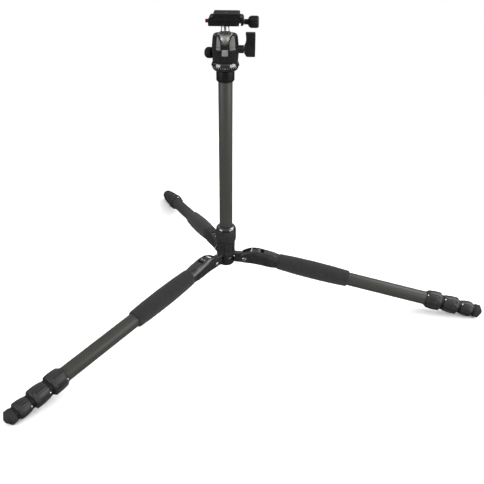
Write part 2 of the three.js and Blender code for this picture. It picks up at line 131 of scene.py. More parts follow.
def tidy_faces(piece):
    """Faces out, and no doubled vertices."""
    shape = bmesh.new()
    shape.from_mesh(piece.data)
    bmesh.ops.remove_doubles(shape, verts=shape.verts, dist=1e-4)
    bmesh.ops.recalc_face_normals(shape, faces=shape.faces)
    shape.to_mesh(piece.data)
    shape.free()
    return piece


def softened(outline, closed=True, steps=4):
    """Rounds an outline's corners. A point is (x, y) or (x, y, radius)."""
    points = []
    count = len(outline)
    for i, corner in enumerate(outline):
        here = Vector(corner[:2])
        radius = corner[2] if len(corner) > 2 else 0
        if not radius or (not closed and i in (0, count - 1)):
            points.append(tuple(here))
            continue
        before = Vector(outline[i - 1][:2]) - here
        after = Vector(outline[(i + 1) % count][:2]) - here
        reach = min(radius, 0.48 * before.length, 0.48 * after.length)
        start = here + before.normalized() * reach
        end = here + after.normalized() * reach
        for k in range(steps + 1):
            t = k / steps
            points.append(tuple(start * (1 - t) ** 2 + here * 2 * t * (1 - t) + end * t * t))
    return points


def turned(name, outline, sides=96, radius_at=None):
    """A turned solid about Z. The outline's points are (height, radius), and it closes on itself."""
    vertices, wrap, rings = [], [], []
    for height, radius in outline:
        ring = []
        for i in range(sides if radius > 1e-6 else 1):
            angle = TAU * i / sides
            out = radius_at(height, radius, angle) if radius_at and radius > 1e-6 else radius
            ring.append(len(vertices))
            vertices.append((out * math.cos(angle), out * math.sin(angle), height))
            wrap.append((angle * radius, height))
        rings.append(ring)
    faces = []
    for near, far in zip(rings, rings[1:] + rings[:1]):
        if len(near) == 1 and len(far) == 1:
            continue
        for i in range(sides):
            j = (i + 1) % sides
            corners = [near[i % len(near)], near[j % len(near)], far[j % len(far)], far[i % len(far)]]
            faces.append(list(dict.fromkeys(corners)))
    return tidy_faces(new_object(name, vertices, faces, wrap))


def pipe(name, low, high, bore, radius, edge=0.25, **options):
    outline = [(low, bore, edge), (low, radius, edge), (high, radius, edge), (high, bore, edge)]
    return turned(name, softened(outline, steps=2), **options)


def rod(name, low, high, radius, sides=48):
    return turned(name, [(low, 0), (low, radius), (high, radius), (high, 0)], sides)


def slab(name, outline, low, high, bevel=0.0, segments=3):
    """An outline drawn in X and Z, extruded along Y, with its edges rounded."""
    count = len(outline)
    vertices = [(x, low, z) for x, z in outline] + [(x, high, z) for x, z in outline]
    faces = [list(range(count)), list(range(count, 2 * count))]
    faces += [[i, (i + 1) % count, (i + 1) % count + count, i + count] for i in range(count)]
    piece = tidy_faces(new_object(name, vertices, faces))
    return rounded(piece, bevel, segments) if bevel else piece


def block(name, low, high, bevel=0.0):
    outline = [(low[0], low[2]), (high[0], low[2]), (high[0], high[2]), (low[0], high[2])]
    return slab(name, outline, low[1], high[1], bevel)


def lofted(name, sections):
    """A solid skinned over rings of points, each ring at one height along Z."""
    count = len(sections[0])
    vertices = [tuple(point) for section in sections for point in section]
    faces = [list(range(count)), [len(vertices) - count + i for i in range(count)]]
    for k in range(len(sections) - 1):
        for i in range(count):
            j = (i + 1) % count
            faces.append([k * count + i, k * count + j, (k + 1) * count + j, (k + 1) * count + i])
    return tidy_faces(new_object(name, vertices, faces))


def bake(piece):
    """Applies a piece's modifiers."""
    graph = bpy.context.evaluated_depsgraph_get()
    mesh = bpy.data.meshes.new_from_object(piece.evaluated_get(graph))
    piece.modifiers.clear()
    piece.data = mesh
    return piece


def rounded(piece, width, segments=3, angle=32):
    """Rounds the edges that turn more than an angle in degrees."""
    bevel = piece.modifiers.new("edges", "BEVEL")
    bevel.width = width
    bevel.segments = segments
    bevel.limit_method = "ANGLE"
    bevel.angle_limit = math.radians(angle)
    return bake(piece)


def combined(piece, operation, tools):
    for tool in tools:
        modifier = piece.modifiers.new(operation, "BOOLEAN")
        modifier.operation = operation
        modifier.object = tool
        modifier.solver = "EXACT"
    bake(piece)
    for tool in tools:
        bpy.data.objects.remove(tool)
    return piece


def cut(piece, *tools):
    return combined(piece, "DIFFERENCE", tools)


def fused(piece, *tools):
    return combined(piece, "UNION", tools)


def moved(piece, matrix):
    piece.data.transform(matrix)
    return piece


def turn_to(axis, degrees=90):
    return Matrix.Rotation(math.radians(degrees), 4, axis)


def lying(piece, height):
    """Lays a shape that was drawn along Z down along X, at a height over the row's origin."""
    return moved(piece, Matrix.Translation((0, 0, height)) @ turn_to("Y"))


def finished(piece, place, body, parts, replaces=(), crease=38):
    """Places a piece in the row frame on its body. parts pairs more shapes with their materials,
    and the first material is the piece's own."""
    own, *others = parts
    piece.data.materials.clear()
    piece.data.materials.append(own)
    for polygon in piece.data.polygons:
        polygon.material_index = 0
    shape = bmesh.new()
    shape.from_mesh(piece.data)
    for index, (extra, finish) in enumerate(others, 1):
        piece.data.materials.append(finish)
        for polygon in extra.data.polygons:
            polygon.material_index = index
        shape.from_mesh(extra.data)
        bpy.data.objects.remove(extra)
    shape.to_mesh(piece.data)
    shape.free()
    piece.data.transform(place)
    for polygon in piece.data.polygons:
        polygon.use_smooth = True
    piece.data.set_sharp_from_angle(angle=math.radians(crease))
    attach(piece, body)
    if replaces:
        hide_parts(*replaces)
    return piece


# ---- materials ----

class Shader:
    """A Principled material and the nodes that feed it."""

    def __init__(self, name, colour, roughness, metallic=0.0, **constants):
        self.material = bpy.data.materials.new(name)
        self.material.use_nodes = True
        self.tree = self.material.node_tree
        self.principled = self.tree.nodes["Principled BSDF"]
        self.colour = colour
        self.principled.inputs["Base Color"].default_value = (*colour, 1)
        self.principled.inputs["Roughness"].default_value = roughness
        self.principled.inputs["Metallic"].default_value = metallic
        for key, value in constants.items():
            self.principled.inputs[key.replace("_", " ")].default_value = value
        self.coordinates = self.tree.nodes.new("ShaderNodeTexCoord").outputs["Object"]

    def node(self, kind, inputs=None, **settings):
        node = self.tree.nodes.new(kind)
        for key, value in settings.items():
            setattr(node, key, value)
        for key, value in (inputs or {}).items():
            if isinstance(value, bpy.types.NodeSocket):
                self.tree.links.new(value, node.inputs[key])
            else:
                node.inputs[key].default_value = value
        return node

    def noise(self, size_mm, detail=3.0, vector=None):
        """Smooth noise whose lumps are about size_mm across."""
        inputs = {"Vector": vector or self.coordinates, "Scale": 1 / (size_mm * MM), "Detail": detail}
        return self.node("ShaderNodeTexNoise", inputs).outputs["Fac"]

    def ranged(self, value, low, high, start=0.3, end=0.7):
        inputs = {"Value": value, "From Min": start, "From Max": end, "To Min": low, "To Max": high}
        return self.node("ShaderNodeMapRange", inputs).outputs["Result"]

    def math(self, operation, first, second=0.0):
        return self.node("ShaderNodeMath", {0: first, 1: second}, operation=operation).outputs[0]

    def tint(self, factor, darker, lighter):
        """The base colour varies between two shares of itself."""
        mix = self.node("ShaderNodeMix", {"Factor": factor}, data_type="RGBA")
        for socket, share in ((mix.inputs[6], darker), (mix.inputs[7], lighter)):
            socket.default_value = (*[min(1, c * share) for c in self.colour], 1)
        self.tree.links.new(mix.outputs[2], self.principled.inputs["Base Color"])

    def rough(self, factor, low, high):
        self.tree.links.new(self.ranged(factor, low, high), self.principled.inputs["Roughness"])

    def bump(self, height, depth_mm, strength=1.0):
        inputs = {"Height": height, "Distance": depth_mm * MM, "Strength": strength}
        bump = self.node("ShaderNodeBump", inputs)
        self.tree.links.new(bump.outputs["Normal"], self.principled.inputs["Normal"])


def carbon():
    """Woven carbon under a satin lacquer: a 2/2 twill of flat tows, each with its fibres."""
    tow = 1.1
    shader = Shader("carbon_twill", (0.03, 0.03, 0.027), 0.4, 0.0, Specular_IOR_Level=0.2)
    wrap = shader.node("ShaderNodeUVMap", uv_map="wrap").outputs["UV"]
    split = shader.node("ShaderNodeSeparateXYZ", {0: wrap})
    across = shader.math("DIVIDE", split.outputs[0], tow)
    along = shader.math("DIVIDE", split.outputs[1], tow)
    step = shader.math("FLOOR", across)
    row = shader.math("FLOOR", along)
    quarter = shader.math("DIVIDE", shader.math("ADD", step, row), 4.0)
    over = shader.math("GREATER_THAN", shader.math("FRACT", quarter), 0.45)
    across_tow = shader.math("SINE", shader.math("MULTIPLY", across, TAU * 5))
    along_tow = shader.math("SINE", shader.math("MULTIPLY", along, TAU * 5))
    fibres = shader.node("ShaderNodeMix", {"Factor": over, 2: across_tow, 3: along_tow}).outputs[0]
    cloud = shader.noise(14)
    weave = shader.math("ADD", shader.math("MULTIPLY", over, 0.55), shader.math("MULTIPLY", fibres, 0.1))
    shader.tint(shader.math("ADD", weave, shader.math("MULTIPLY", cloud, 0.4)), 0.78, 1.3)
    shader.rough(over, 0.33, 0.42)
    shader.bump(weave, 0.03, 0.35)
    return shader.material


def foam():
    """Closed-cell foam: fine open pores, no shine."""
    shader = Shader("foam_cells", (0.014, 0.014, 0.0145), 0.94, Sheen_Weight=0.05, Sheen_Roughness=0.6,
                    Specular_IOR_Level=0.15)
    inputs = {"Vector": shader.coordinates, "Scale": 1 / (0.7 * MM)}
    cells = shader.node("ShaderNodeTexVoronoi", inputs).outputs["Distance"]
    pores = shader.ranged(cells, 0.0, 1.0, 0.05, 0.45)
    lumps = shader.noise(5)
    shader.tint(shader.math("MULTIPLY", pores, lumps), 0.72, 1.5)
    shader.bump(shader.math("ADD", pores, shader.math("MULTIPLY", lumps, 0.6)), 0.12, 0.6)
    return shader.material


def rubber(name, colour, roughness=0.62, grain=0.35, shine=0.22):
    """Moulded rubber: a fine spark texture, dusty in places, a little worn on its edges."""
    shader = Shader(name, colour, roughness, 0.0, Specular_IOR_Level=shine)
    dust = shader.noise(9, 6)
    fine = shader.noise(grain, 2)
    worn = shader.node("ShaderNodeNewGeometry").outputs["Pointiness"]
    edges = shader.ranged(worn, 0.0, 0.5, 0.52, 0.62)
    shader.tint(shader.math("ADD", shader.ranged(dust, 0.0, 0.6), edges), 0.8, 1.45)
    shader.rough(dust, roughness - 0.08, roughness + 0.12)
    shader.bump(fine, 0.05, 0.5)
    return shader.material


def metal(name, colour, roughness, metallic, grain=0.25, depth=0.02, shine=0.3, wear=0.4, coat=0.0):
    """Cast or blasted metal under a finish, with polished edges."""
    shader = Shader(name, colour, roughness, metallic, Specular_IOR_Level=shine, Coat_Weight=coat,
                    Coat_Roughness=roughness)
    cloud = shader.noise(12, 5)
    fine = shader.noise(grain, 3)
    worn = shader.node("ShaderNodeNewGeometry").outputs["Pointiness"]
    edges = shader.math("MULTIPLY", shader.ranged(worn, 0.0, 1.0, 0.53, 0.66), wear)
    shader.tint(shader.math("ADD", shader.ranged(cloud, 0.1, 0.5), edges), 0.82, 1.4)
    shader.rough(cloud, roughness - 0.05, roughness + 0.06)
    shader.bump(fine, depth, 0.5)
    return shader.material


def machined(name, colour, roughness, ring=0.35):
    """Turned metal: fine rings left by the tool."""
    shader = Shader(name, colour, roughness, 1.0)
    inputs = {"Vector": shader.coordinates, "Scale": 1 / (ring * MM) / 20, "Distortion": 0.3}
    rings = shader.node("ShaderNodeTexWave", inputs, bands_direction="Z").outputs["Fac"]
    cloud = shader.noise(6, 4)
    shader.tint(cloud, 0.85, 1.12)
    uneven = shader.math("ADD", shader.math("MULTIPLY", rings, 0.4), cloud)
    shader.rough(uneven, roughness - 0.05, roughness + 0.07)
    shader.bump(rings, 0.01, 0.3)
    return shader.material


def paint():
    shader = Shader("white_mark", (0.75, 0.75, 0.73), 0.5)
    shader.tint(shader.noise(0.5), 0.9, 1.05)
    shader.bump(shader.noise(0.3), 0.01, 0.3)
    return shader.material


CARBON = carbon()
FOAM = foam()
RUBBER = rubber("lock_rubber", (0.013, 0.013, 0.0135), 0.46, shine=0.4)
KNOB = rubber("knob_rubber", (0.006, 0.006, 0.0065), 0.5)
FOOT = rubber("foot_rubber", (0.015, 0.015, 0.0155), 0.72, 0.6)
NYLON = rubber("moulded_nylon", (0.022, 0.022, 0.023), 0.45, 0.8)
GRAPHITE = metal("graphite_casting", (0.017, 0.017, 0.018), 0.25, 0.2, grain=0.6, depth=0.003, shine=0.5)
SATIN = metal("satin_black", (0.016, 0.016, 0.017), 0.2, 0.1, grain=0.6, depth=0.004, shine=0.45)
BOLT = machined("dark_steel", (0.45, 0.45, 0.45), 0.24)
GLOSS = metal("gloss_black", (0.009, 0.009, 0.0095), 0.11, 0.0, grain=0.6, depth=0.002, shine=0.4, wear=0.25)
POLISHED = metal("polished_black", (0.008, 0.008, 0.0085), 0.12, 0.0, grain=0.6, depth=0.002, shine=0.9,
                 coat=0.5)
ANODISED = metal("black_anodised", (0.006, 0.006, 0.0065), 0.36, 0.0, depth=0.01, shine=0.12)
# Turned steel for the screws and studs, also put on the angle stop's ridge as a painted highlight.
STEEL_AND_GLINT = machined("turned_steel_and_painted_glint", (0.62, 0.62, 0.6), 0.24)
BALL_METAL = machined("turned_ball", (0.55, 0.55, 0.52), 0.37, 0.5)
BADGE_METAL = metal("badge_metal", (0.17, 0.17, 0.165), 0.35, 0.3, grain=1.5, depth=0.001)
RED = metal("red_anodised", (0.16, 0.006, 0.035), 0.34, 0.5)
WHITE = paint()


# ---- column and hub ----

COLUMN = measure("column_tube")
SPIDER = measure("spider")
NECK = SPIDER.bore + 3  # the round neck of the sleeve, inside the lock collar
PAD_AZIMUTHS = (50, 170, 290)  # the flats on the sleeve, midway between the arms
CLEAR = 0.3  # the gap between pieces that fit together
SLEEVE_LOW = min(p.z for p in local_points("spider", ROW) if math.hypot(p.x, p.y) < NECK)
PAD_HALF = 24  # degrees from a flat's middle to its edge
GROOVE_END = 34  # degrees from a flat's middle to the far edge of its groove
ARM_HALF = 5  # half the width of a hub's arm
PIN_ROOM = 2.8  # radius of the holes that the hinge bolts run through
SCREW_ROOM = 2.9  # radius of the holes for the clamp's screw
MAIN_ROOM = 3.1  # radius of the holes for the main knob's screw
HEX_FLAT = 2.2  # from the middle of a hinge bolt's socket to its flats


def azimuth(leg):
    pin = JOINTS[f"{leg}_fold"]["pos_m"]
    return math.atan2(pin[1], pin[0])


def rim(node, place, height, within=0.6):
    """The largest radius of a CAD node near one height."""
    points = local_points(node, place)
    return max(math.hypot(p.x, p.y) for p in points if abs(p.z - height) < within)


def smooth(value, start, end):
    t = min(1.0, max(0.0, (value - start) / (end - start)))
    return t * t * (3 - 2 * t)


def dense(outline, step):
    """The same closed outline, with points no further apart than a step."""
    points = []
    for here, after in zip(outline, outline[1:] + outline[:1]):
        parts = max(1, math.ceil(math.dist(here, after) / step))
        points += [tuple(Vector(here).lerp(Vector(after), k / parts)) for k in range(parts)]
    return points


def make_column():
    tube = pipe("column", *COLUMN)
    finished(tube, ROW, "column", [CARBON], ["column_tube"])

    cap = measure("column_end_cap")
    socket = COLUMN.radius + CLEAR
    floor = COLUMN.low - CLEAR
    r, low, high = cap.radius, cap.low, cap.high
    body = turned("end_cap", softened([
        (low, 0), (low, r - 2.6, 1), (low + 3.2, r, 1.5), (high - 8.6, r, 2.5), (high - 3.4, r - 1.5, 2),
        (high - 3, r - 2.3, 0.3), (high, r - 2.3, 0.4), (high, socket, 0.2), (floor, socket), (floor, 0),
    ], closed=False))
    finished(body, ROW, "column", [POLISHED], ["column_end_cap"])

    top = measure("column_top_cap")
    r, low, high = top.radius, top.low, top.high
    ceiling = COLUMN.high + CLEAR
    body = turned("top_cap", softened([
        (low, socket, 0.2), (low, r - 2, 0.4), (low + 2.4, r, 0.9), (high, r, 0.5), (high, top.bore, 0.2),
        (ceiling, top.bore), (ceiling, socket),
    ]))
    finished(body, ROW, "column", [ANODISED], ["column_top_cap"])


def sleeve_flats(height, radius, angle):
    """Three flat pads with a shallow groove at either side, on the sleeve's outer face."""
    if radius < NECK + 0.3:
        return radius
    for middle in PAD_AZIMUTHS:
        off = abs((math.degrees(angle) - middle + 180) % 360 - 180)
        if off < PAD_HALF:
            return (radius - 0.5) / math.cos(math.radians(off)) - 0.35
        if off < GROOVE_END:
            from_middle = abs(off - (PAD_HALF + GROOVE_END) / 2)
            return radius - 0.9 + 0.9 * smooth(from_middle, 3.4, 5)
    return radius


def make_hub():
    _, high, bore, _ = SPIDER
    low = SLEEVE_LOW
    collar = measure("column_lock_collar")
    top = collar.low - CLEAR
    body = turned("hub", dense(softened([
        (low, bore, 0.3), (low, bore + 4.6, 0.8), (low + 4.2, bore + 4.6, 0.8), (low + 7, bore + 3.7, 1.5),
        (top, bore + 3.7, 0.6), (top, NECK), (high, NECK), (high, bore),
    ]), 2.5), sides=180, radius_at=sleeve_flats)
    pins = [Vector(JOINTS[f"{leg}_fold"]["pos_m"]) / MM for leg in LEGS]
    out = math.hypot(pins[0].x, pins[0].y)
    pin_z = pins[0].z
    tip = pin_z - SPIDER.low
    bore_tool = rod("column_room", low - 1, high + 1, bore)
    cap_tool = rod("cap_room", SPIDER.low - 1, low, measure("column_end_cap").radius + CLEAR)
    arms, holes = [], []
    for leg in LEGS:
        rounding = [(out + tip * math.cos(a), pin_z + tip * math.sin(a))
                    for a in (math.radians(-90 + 8 * k) for k in range(21))]
        outline = [(bore + 3.9, pin_z - tip), *rounding, (out - 5, low + 4.2), (bore + 2.4, low + 4.2),
                   (bore + 2.4, low + 0.5), (bore + 3.9, low + 0.5)]
        spin = Matrix.Rotation(azimuth(leg), 4, "Z")
        arms.append(moved(slab("arm", outline, -ARM_HALF, ARM_HALF, 0.7), spin))
        hole = moved(rod("pin_room", -8, 8, PIN_ROOM), turn_to("X"))
        holes.append(moved(hole, spin @ Matrix.Translation((out, 0, pin_z))))
    body = cut(fused(body, *arms), bore_tool, cap_tool, *holes)
    finished(body, ROW, "spider", [SATIN], ["spider"])

    low, high, _, r = collar
    bore = NECK + CLEAR
    inner = COLUMN.radius + CLEAR
    sleeve = turned("collar", softened([
        (low, bore, 0.2), (low, bore + 0.6, 0.3), (low + 5, r - 0.1, 2), (high - 6.4, r - 0.1, 0.5),
        (high - 6.4, bore, 0.2),
    ]))
    crown = turned("crown", softened([
        (high - 6.2, bore), (high - 6.2, r - 0.3, 0.3), (high - 4.8, r - 0.3, 1), (high - 2.2, r - 1.2, 1.2),
        (high, r - 3.6, 1), (high, inner, 0.4), (high - 3, inner), (high - 3, bore),
    ]))
    ribs = [moved(block("rib", (r - 0.7, -0.35, low + 6.5), (r - 0.02, 0.35, high - 7.6), 0.25),
                  Matrix.Rotation(TAU * k / 30, 4, "Z")) for k in range(30)]
    parts = [RUBBER, (crown, POLISHED)] + [(rib, RUBBER) for rib in ribs]
    finished(sleeve, ROW, "collar", parts, ["column_lock_collar"])


# ---- legs ----

# The shoulder casting's stations: distance past the hinge pin, lowest and highest point from the
# pin, half width, and how far below the top its upper bevels meet the sides. Distances beyond the
# pin are stretched until the last one reaches the foam grip.
SHOULDER = (
    (-9.2, -2.0, 2.6, 7.8, 0.9), (-8.4, -4.4, 5.4, 9.0, 1.1), (-6.0, -7.2, 8.9, 9.6, 1.3),
    (-2.5, -8.6, 12.0, 9.6, 1.6), (1.0, -8.6, 14.6, 9.6, 1.9), (5.0, -8.0, 17.0, 9.7, 2.2),
    (12.0, -6.8, 19.2, 10.4, 2.8), (20.0, -5.8, 20.1, 11.3, 3.6), (28.0, -5.2, 20.2, 11.9, 4.6),
    (40.0, -4.8, 20.3, 12.2, 6.0), (56.0, -4.2, 20.5, 12.3, 7.2),
)
SCOOP = 1.2  # depth of a lock's scoops
MARK_ANGLES = {"leg_1": 34, "leg_2": 15, "leg_3": -80}  # how far each leg's index dots are turned


def spline(stations, parts):
    """Stations drawn finer, on a smooth curve through them."""
    rows = []
    last = len(stations) - 1
    for k in range(last):
        a, b, c, d = (Vector(stations[min(last, max(0, k + i))]) for i in (-1, 0, 1, 2))
        for step in range(parts):
            t = step / parts
            rows.append(0.5 * (2 * b + (c - a) * t + (2 * a - 5 * b + 4 * c - d) * t ** 2
                               + (3 * b - a - 3 * c + d) * t ** 3))
    return rows + [Vector(stations[-1])]


def soft_polygon(walls, crispness=24, steps=96):
    """Points round a convex outline. A wall has a facing angle and a distance from the middle."""
    points = []
    for k in range(steps):
        angle = TAU * k / steps
        reach = sum(max(0.0, math.cos(angle - facing) / away) ** crispness for facing, away in walls)
        out = reach ** (-1 / crispness)
        points.append((out * math.cos(angle), out * math.sin(angle)))
    return points


def shoulder_section(low, high, half, bevel, round_share):
    """A box with bevelled upper edges and a rounded belly, blended towards a circle."""
    tall = (high - low) / 2
    lean = Vector((0.8, 1)).normalized()
    away = lean.x * (tall - bevel) + lean.y * half
    facing = math.atan2(lean.y, lean.x)
    walls = [(0, tall), (TAU / 2, tall), (TAU / 4, half), (-TAU / 4, half), (facing, away), (-facing, away)]
    outline = []
    for point in soft_polygon(walls):
        roof = Vector(point)
        up, side = roof.normalized()
        belly = (abs(up / tall) ** 2.6 + abs(side / half) ** 2.6) ** (-1 / 2.6)
        out = belly + (roof.length - belly) * smooth(up, -0.25, 0.2)
        outline.append(roof.normalized() * (out + (half - out) * round_share))
    return outline


def make_shoulder(leg, place):
    pin = place.inverted() @ Vector(JOINTS[f"{leg}_fold"]["pos_m"])
    end = measure(f"{leg}_foam_grip", place).low - CLEAR
    tube = measure(f"{leg}_upper_tube", place)
    reach = end - pin.z
    sections = []
    for past, low, high, half, bevel in spline(SHOULDER, 5):
        z = pin.z + past * (reach / SHOULDER[-1][0] if past > 0 else 1)
        outline = shoulder_section(low, high, half, bevel, smooth(past, 44, 55))
        middle = pin.x + (low + high) / 2
        sections.append([(middle + up, side, z) for up, side in outline])
    body = lofted(f"{leg}_casting", sections)
    stop_low, stop_high = span(f"{leg}_angle_stop", place)
    at_pin = Matrix.Translation(pin) @ turn_to("X")
    fork = ARM_HALF + CLEAR
    tools = [
        rod("tube_room", tube.low - CLEAR, end + 1, tube.radius + CLEAR, 64),
        block("fork", (pin.x - 13, -fork, pin.z - 13), (pin.x + 20, fork, pin.z)),
        block("passage", (pin.x - 13, -fork, pin.z - 1), (pin.x + 20, fork, pin.z + 9.2)),
        moved(rod("swing", -fork, fork, 9, 64), at_pin),
        moved(rod("pin_room", -12, 12, PIN_ROOM), at_pin),
        moved(rod("head_room", 7.6, 13, 4.5), at_pin),
        moved(rod("nut_room", -13, -7.6, 4.5), at_pin),
        block("stop_room", (stop_low.x - CLEAR, stop_low.y - CLEAR, stop_low.z - 1),
              (pin.x + 24, stop_high.y + CLEAR, stop_high.z + 5)),
    ]
    body = rounded(cut(body, *tools), 0.35, 2, 48)
    finished(body, place, leg, [GRAPHITE], [f"{leg}_shoulder"], crease=30)

    bolt = max(abs(point.y) for point in local_points(f"{leg}_hinge_bolt", place))
    core = turned(f"{leg}_pin", softened([
        (-bolt, HEX_FLAT), (-bolt, 2.9, 0.3), (-bolt + 1.1, 4.2, 0.4), (-7.9, 4.2, 0.1), (-7.9, 2.5),
        (7.9, 2.5), (7.9, 4.2, 0.1), (bolt - 1.1, 4.2, 0.4), (bolt, 2.9, 0.3), (bolt, HEX_FLAT),
        (bolt - 1.8, HEX_FLAT), (bolt - 1.8, 0), (-bolt + 1.8, 0), (-bolt + 1.8, HEX_FLAT),
    ], closed=False, steps=2), sides=48, radius_at=hex_socket)
    finished(core, place @ at_pin, leg, [BOLT], [f"{leg}_hinge_bolt"])


def hex_socket(height, radius, angle):
    """The bolt's inner walls are a hexagon."""
    if abs(radius - HEX_FLAT) > 1e-6:
        return radius
    return radius / math.cos((angle % (TAU / 6)) - TAU / 12)


def make_stop(leg, place):
    """The sliding tab that sets the leg's angle: a ridge to pull, a grooved face and two screws. The ridge is
    coloured bright steel as a painted highlight; the real ridge is black like the tab.
    """
    low, high = span(f"{leg}_angle_stop", place)
    top = high.x
    face = [(top - 2.6, low.z), (top - 2.5, low.z + 4), (top - 1.4, low.z + 6.8), (top - 0.4, low.z + 8)]
    for k in range(3):
        z = low.z + 9 + 1.5 * k
        face += [(top - 0.2, z), (top - 0.7, z + 0.45), (top - 0.2, z + 0.9)]
    face += [(top - 0.05, high.z - 1.3), (top - 0.7, high.z), (low.x, high.z), (low.x, low.z)]
    body = slab(f"{leg}_stop_tab", softened([(x, z, 0.3) for x, z in face], steps=2), low.y, high.y, 0.3, 2)
    # Painted highlight: the ridge takes the bright steel finish to stand in for the glint on the tab's black
    # ridge.
    glint_ridge = block("glint_ridge", (top - 3.4, low.y + 0.3, low.z + 0.6), (top - 1.62, high.y - 0.3, low.z + 3), 0.8)
    screws = []
    for side in (-2.8, 2.8):
        head = turned("screw", softened([
            (-1, 0), (-1, 2.1), (0, 2.1, 0.4), (0.2, 0)], closed=False), sides=32)
        slot = block("slot", (-2.4, -0.25, -0.1), (2.4, 0.25, 1))
        seat = Matrix.Translation((top - 0.2, side, high.z - 3.1)) @ turn_to("Y")
        screws.append((moved(cut(head, slot), seat), STEEL_AND_GLINT))
    finished(body, place, f"{leg}_stop", [SATIN, (glint_ridge, STEEL_AND_GLINT), *screws], [f"{leg}_angle_stop"])


def make_foam(leg, place):
    low, high, bore, radius = measure(f"{leg}_foam_grip", place)
    length = high - low
    outline = dense(softened([
        (low, bore, 0.4), (low, bore + 1.2, 0.6), (low + 1.8, bore + 2, 2),
        (low + 0.25 * length, radius - 0.5, 9), (low + 0.5 * length, radius, 9),
        (low + 0.8 * length, radius - 0.5, 9), (high - 1.8, radius - 1.5, 2),
        (high, bore + 1.4, 0.6), (high, bore, 0.4),
    ]), 2.5)

    def soft_wall(height, out, angle):
        if out < bore + 0.5:
            return out
        lump = math.sin(0.11 * height + 2 * angle) * math.sin(0.07 * height - 3 * angle + 1)
        return out - 0.06 + 0.06 * lump
    grip = turned(f"{leg}_grip", outline, radius_at=soft_wall)
    finished(grip, place, leg, [FOAM], [f"{leg}_foam_grip"])


def index_dot(angle, radius, height, lean=0):
    """A round painted mark that stands a hair proud of a turned surface."""
    dot = turned("dot", softened([(-0.4, 0), (-0.4, 1), (0.1, 1, 0.2), (0.16, 0)], closed=False), sides=24)
    spin = Matrix.Rotation(math.radians(angle), 4, "Z")
    return moved(dot, spin @ Matrix.Translation((radius, 0, height)) @ turn_to("Y", 90 + lean))


def make_lock(leg, place, index):
    """A twist lock: a faceted rubber barrel, scooped from the tube side, with a rim and a bare neck."""
    node = f"{leg}_lock_{index}"
    low, high, bore, radius = measure(node, place)
    outer = measure(f"{leg}_upper_tube" if index == 1 else f"{leg}_section_{index}", place)
    wall = outer.radius + CLEAR
    step = outer.high + CLEAR
    back = rim(node, place, low) - 0.6
    nose = rim(node, place, high) - 0.8
    crest = low + 0.55 * (high - low)
    outline = dense(softened([
        (low + 0.9, wall), (low + 0.9, back, 0.4), (low + 3.6, radius - 1.2, 1.4), (crest, radius, 4),
        (high - 4.4, radius - 1, 0.4), (high - 3.6, radius - 1.9, 0.3), (high - 3.4, nose),
        (high - 3.4, wall),
    ]), 0.8)
    core = turned("core", softened([
        (low, wall, 0.2), (low, back - 0.3, 0.3), (low + 1, back - 0.3), (low + 1, wall + 0.3),
        (high - 3.5, wall + 0.3), (high - 3.5, nose), (high, nose, 0.3), (high, bore, 0.2), (step, bore),
        (step, wall),
    ]), sides=64)
    lobes = (11, 10, 9)[index - 1]
    pitch = TAU * radius / lobes
    half = 0.29 * pitch
    tip = high - 7.4 - half
    turn = TAU / lobes

    def barrel(height, out, angle):
        if out < back + 0.2:
            return out
        off = abs((angle / turn + 0.5) % 1 - 0.5) * turn
        flat = math.cos(turn / 2) / math.cos(turn / 2 - off)
        facet = out + 0.9 * (out * flat - out) * smooth(height, low, low + 3)
        inside = half - math.hypot(off / turn * pitch, max(0.0, height - tip))
        return facet - SCOOP * smooth(inside, -0.1, 0.7) * smooth(height, low + 0.5, low + 4)
    body = turned(f"{leg}_twist_{index}", outline, sides=24 * lobes, radius_at=barrel)
    dot = index_dot(MARK_ANGLES[leg], back + 0.9, low + 1.9, 40)
    parts = [RUBBER, (core, KNOB), (dot, WHITE)]
    finished(body, place, f"{leg}_twist_{index}", parts, [node], crease=50)


def make_foot(leg, place):
    low, high, _, radius = measure(f"{leg}_foot", place)
    inner = measure(f"{leg}_section_4", place)
    bore = inner.radius + CLEAR
    seat = inner.high + CLEAR
    foot = turned(f"{leg}_toe", softened([
        (low, bore, 0.2), (low, radius - 0.8, 0.3), (low + 1.2, radius, 0.3), (high - 5.4, radius, 0.2),
        (high, 3, 0.8), (high, 0), (seat, 0), (seat, bore),
    ], closed=False))
    finished(foot, place, f"{leg}_fourth", [FOOT], [f"{leg}_foot"])


def make_leg(leg):
    place = leg_frame(leg)
    make_shoulder(leg, place)
    make_stop(leg, place)
    make_foam(leg, place)
    sections = (("upper_tube", leg), ("section_2", f"{leg}_second"), ("section_3", f"{leg}_third"),
                ("section_4", f"{leg}_fourth"))
    for name, body in sections:
        tube = pipe(f"{leg}_{name.replace('_', '_carbon_')}", *measure(f"{leg}_{name}", place))
        finished(tube, place, body, [CARBON], [f"{leg}_{name}"])
    for index in (1, 2, 3):
        make_lock(leg, place, index)
    make_foot(leg, place)


# ---- ball head ----

def make_pan_base():
    low, high, _, ring = measure("pan_base")
    bowl = ring - 1.4
    stud = measure("head_stud")
    hole = rim("head_stud", ROW, stud.high) + CLEAR
    body = turned("pan_disc", softened([
        (low, hole), (low, 14.4, 0.5), (low + 1.8, 17.6, 2), (low + 5, bowl, 1.2), (low + 6.7, bowl, 0.1),
        (low + 7.8, ring, 0.3), (low + 11.8, ring - 1.1, 0.4), (low + 12.8, bowl - 0.6, 0.4),
        (low + 12.8, 8.5, 0.2), (high, 8.5, 0.3), (high, 0), (stud.high + CLEAR, 0),
        (stud.high + CLEAR, hole),
    ], closed=False), sides=128)
    marks = []
    for k in range(36):
        tall = 1.3 if k % 3 == 0 else 0.8
        mark = block("mark", (bowl - 0.3, -0.16, low + 6.6 - tall), (bowl + 0.04, 0.16, low + 6.6))
        marks.append((moved(mark, Matrix.Rotation(TAU * k / 36, 4, "Z")), WHITE))
    finished(body, ROW, "column", [POLISHED, *marks], ["pan_base"])


